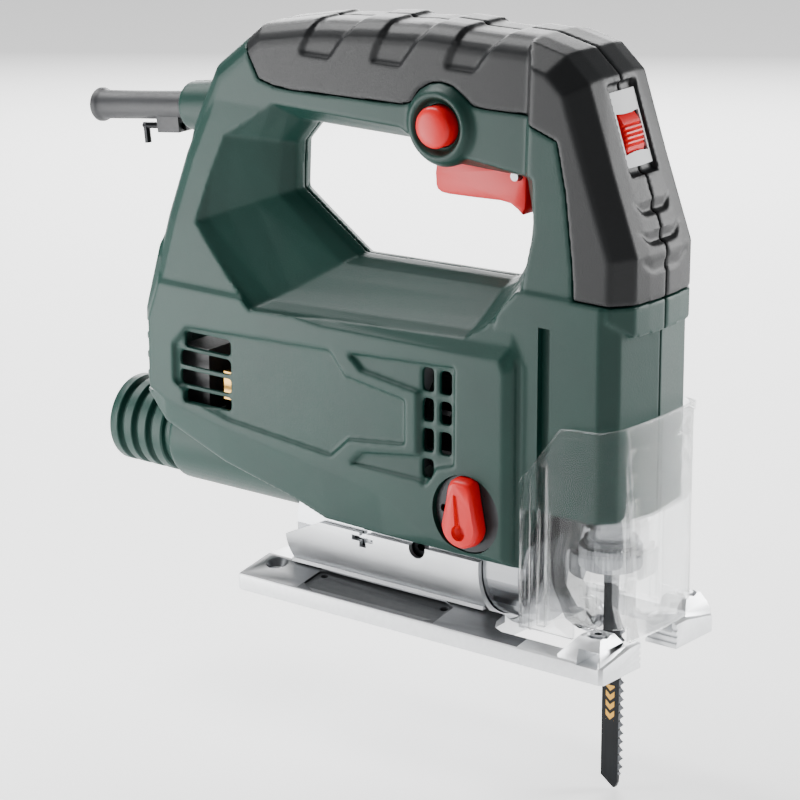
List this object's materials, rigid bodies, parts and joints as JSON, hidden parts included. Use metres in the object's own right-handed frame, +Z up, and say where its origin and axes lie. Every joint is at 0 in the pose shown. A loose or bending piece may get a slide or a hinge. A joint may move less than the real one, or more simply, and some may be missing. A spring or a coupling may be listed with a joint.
{
  "type": "jigsaw power tool",
  "caption": "Corded D-handle jigsaw with tilting sole plate, clear chip guard, dust nozzle and quick blade clamp.",
  "frame": {"origin": "on the underside of the sole plate, on its centre line under the cradle", "axes": "+X cutting direction, +Z up away from the workpiece, blade plane at Y = 0"},
  "size_m": [0.2423, 0.0662, 0.2526],
  "materials": {
    "armature_shaft": "satin",
    "bearing_block": "moulded",
    "brush_holder_left": "machined",
    "brush_holder_right": "machined",
    "carbon_brush_left": "moulded",
    "carbon_brush_right": "moulded",
    "clamp_body": "satin",
    "clamp_collar": "satin",
    "clamp_ring": "black",
    "clear_guard": "clear plastic",
    "commutator": "machined",
    "cooling_fan": "moulded",
    "cord_sleeve": "satin",
    "cradle_rivet_front": "satin",
    "cradle_rivet_rear": "satin",
    "dial_axle": "satin",
    "drive_gear": "satin",
    "dust_nozzle": "fine texture",
    "fence_screw_left": "satin",
    "fence_screw_right": "satin",
    "field_core": "laminated",
    "fork_pin": "satin",
    "front_bearing": "satin",
    "gear_axle": "satin",
    "gear_housing": "cast",
    "guide_roller": "satin",
    "hex_key": "black",
    "housing_left": "fine texture",
    "housing_right": "fine texture",
    "housing_screw_1": "satin",
    "housing_screw_2": "satin",
    "housing_screw_3": "satin",
    "housing_screw_4": "satin",
    "housing_screw_5": "satin",
    "lever_plate": "black",
    "lock_button": "satin",
    "lower_bush": "cast",
    "orbit_lever": "satin",
    "plunger_rod": "satin",
    "rear_bearing": "satin",
    "roller_fork": "black",
    "roller_pin": "satin",
    "rotor_core": "laminated",
    "saw_blade": "black",
    "shoe_plate": "cast",
    "soft_cover_left": "satin",
    "soft_cover_right": "satin",
    "speed_dial": "satin",
    "switch_module": "moulded",
    "tilt_cradle": "satin",
    "tilt_screw_left": "black",
    "tilt_screw_right": "black",
    "trigger": "satin",
    "trigger_pin": "satin",
    "upper_bush": "cast"
  },
  "bodies": {
    "sole": {"shoe_plate": "shoe_plate", "tilt_cradle": "tilt_cradle", "cradle_rivet_front": "cradle_rivet_front", "cradle_rivet_rear": "cradle_rivet_rear", "fence_screw_left": "fence_screw_left", "fence_screw_right": "fence_screw_right"},
    "guard": {"clear_guard": "clear_guard"},
    "trigger": {"trigger": "trigger"},
    "button": {"lock_button": "lock_button"},
    "dial": {"speed_dial": "speed_dial"},
    "lever": {"orbit_lever": "orbit_lever"},
    "armature": {"armature_shaft": "armature_shaft", "rotor_core": "rotor_core", "commutator": "commutator", "cooling_fan": "cooling_fan"},
    "gear": {"drive_gear": "drive_gear"},
    "plunger": {"plunger_rod": "plunger_rod", "clamp_body": "clamp_body", "clamp_ring": "clamp_ring", "saw_blade": "saw_blade"},
    "collar": {"clamp_collar": "clamp_collar"},
    "fork": {"roller_fork": "roller_fork", "roller_pin": "roller_pin"},
    "roller": {"guide_roller": "guide_roller"},
    "nozzle": {"dust_nozzle": "dust_nozzle"},
    "key": {"hex_key": "hex_key"},
    "tool": {"bearing_block": "bearing_block", "brush_holder_left": "brush_holder_left", "brush_holder_right": "brush_holder_right", "carbon_brush_left": "carbon_brush_left", "carbon_brush_right": "carbon_brush_right", "cord_sleeve": "cord_sleeve", "dial_axle": "dial_axle", "field_core": "field_core", "fork_pin": "fork_pin", "front_bearing": "front_bearing", "gear_axle": "gear_axle", "gear_housing": "gear_housing", "housing_left": "housing_left", "housing_right": "housing_right", "housing_screw_1": "housing_screw_1", "housing_screw_2": "housing_screw_2", "housing_screw_3": "housing_screw_3", "housing_screw_4": "housing_screw_4", "housing_screw_5": "housing_screw_5", "lever_plate": "lever_plate", "lower_bush": "lower_bush", "rear_bearing": "rear_bearing", "soft_cover_left": "soft_cover_left", "soft_cover_right": "soft_cover_right", "switch_module": "switch_module", "tilt_screw_left": "tilt_screw_left", "tilt_screw_right": "tilt_screw_right", "trigger_pin": "trigger_pin", "upper_bush": "upper_bush"}
  },
  "joints": [
    {"name": "housing_tilt", "type": "hinge", "parent": "sole", "child": "tool", "pos_m": [0, 0, 0.025], "axis": [-1, 0, 0], "range_deg": [0, 45]},
    {"name": "guard_lift", "type": "slide", "parent": "tool", "child": "guard", "axis": [0, 0, 1], "range_m": [0, 0.024]},
    {"name": "trigger_press", "type": "hinge", "parent": "tool", "child": "trigger", "pos_m": [0.0376, 0, 0.156], "axis": [0, 1, 0], "range_deg": [0, 6], "stiffness_Nm_per_rad": 0.6, "springref_deg": -5.73},
    {"name": "button_press", "type": "slide", "parent": "tool", "child": "button", "axis": [0, 1, 0], "range_m": [0, 0.0025], "stiffness_N_per_m": 500, "springref_m": -0.002},
    {"name": "dial_turn", "type": "hinge", "parent": "tool", "child": "dial", "pos_m": [0.0655, 0, 0.1706], "axis": [0, 1, 0], "range_deg": [-135, 135]},
    {"name": "lever_turn", "type": "hinge", "parent": "tool", "child": "lever", "pos_m": [0.031, -0.026, 0.0445], "axis": [0, 1, 0], "range_deg": [0, 90]},
    {"name": "armature_spin", "type": "hinge", "parent": "tool", "child": "armature", "pos_m": [0, 0, 0.068], "axis": [1, 0, 0], "continuous": true},
    {"name": "gear_spin", "type": "hinge", "parent": "tool", "child": "gear", "pos_m": [0.041, 0, 0.092], "axis": [1, 0, 0], "continuous": true},
    {"name": "plunger_stroke", "type": "slide", "parent": "tool", "child": "plunger", "axis": [0, 0, 1], "range_m": [-0.009, 0.009]},
    {"name": "collar_turn", "type": "hinge", "parent": "plunger", "child": "collar", "pos_m": [0.0705, 0, 0.032], "axis": [0, 0, 1], "range_deg": [0, 60], "stiffness_Nm_per_rad": 0.05, "springref_deg": -17.19},
    {"name": "fork_swing", "type": "hinge", "parent": "tool", "child": "fork", "pos_m": [0.053, 0, 0.0516], "axis": [0, 1, 0], "range_deg": [0, 2.5], "stiffness_Nm_per_rad": 2, "springref_deg": -2.86},
    {"name": "roller_spin", "type": "hinge", "parent": "fork", "child": "roller", "pos_m": [0.0623, 0, 0.0096], "axis": [0, 1, 0], "continuous": true},
    {"name": "nozzle_pull", "type": "slide", "parent": "tool", "child": "nozzle", "axis": [-1, 0, 0], "range_m": [0, 0.03]},
    {"name": "key_pull", "type": "slide", "parent": "tool", "child": "key", "axis": [-0.9925, 0, -0.1219], "range_m": [0, 0.02]}
  ],
  "couplings": [
    {"joint": "guard_lift", "follows": "housing_tilt", "m_per_rad": 0.03},
    {"joint": "gear_spin", "follows": "armature_spin", "ratio": -0.17073}
  ]
}
